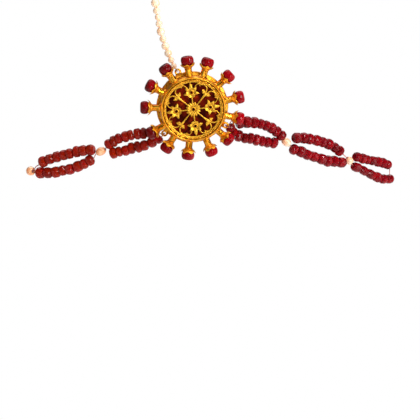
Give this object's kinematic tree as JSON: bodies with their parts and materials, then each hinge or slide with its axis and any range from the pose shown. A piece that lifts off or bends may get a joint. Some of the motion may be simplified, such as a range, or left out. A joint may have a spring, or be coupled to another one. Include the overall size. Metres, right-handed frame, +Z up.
{
  "type": "maang tikka",
  "caption": "Gold and glass forehead medallion with ruby settings round its rim, doubled ruby strands for the brow and a pearl string for the parting, held by wire hooks.",
  "frame": {"origin": "centre of the back of the medallion's plate, where it rests on the forehead", "axes": "+X to the right of someone who faces the medallion, +Y from its face into the forehead, +Z up the parting"},
  "size_m": [0.1578, 0.0538, 0.0994],
  "materials": {
    "gold": "polished high-carat gold, fine grain on the flange",
    "foil": "embossed gold foil with bright edges",
    "hook_wire": "drawn gold wire",
    "glass": "deep garnet glass, flat and glossy, opaque over its dark floor",
    "ruby": "faceted crimson stone and beads, glossy, threads between the beads",
    "pearl": "peach pearl with a soft lustre",
    "pale_pearl": "pale cream pearl with a soft lustre"
  },
  "bodies": {
    "root": {"gold_frame": "gold", "glass_disc": "glass", "foil_openwork": "foil", "setting_stone_01": "ruby", "setting_stone_02": "ruby", "setting_stone_03": "ruby", "setting_stone_04": "ruby", "setting_stone_05": "ruby", "setting_stone_06": "ruby", "setting_stone_07": "ruby", "setting_stone_08": "ruby", "setting_stone_09": "ruby", "setting_stone_10": "ruby", "setting_stone_11": "ruby", "setting_stone_12": "ruby", "setting_stone_13": "ruby", "left_inner_string": "ruby", "left_outer_upper_string": "ruby", "left_outer_lower_string": "ruby", "right_inner_string": "ruby", "right_middle_upper_string": "ruby", "right_middle_lower_string": "ruby", "right_outer_string": "ruby", "left_joining_pearl": "pearl", "left_end_pearl": "pearl", "right_joining_pearl": "pearl", "right_outer_pearl": "pearl", "left_hair_hook": "hook_wire", "right_hair_hook": "hook_wire", "top_hair_hook": "hook_wire", "top_pearl_string": "pale_pearl"}
  },
  "joints": []
}
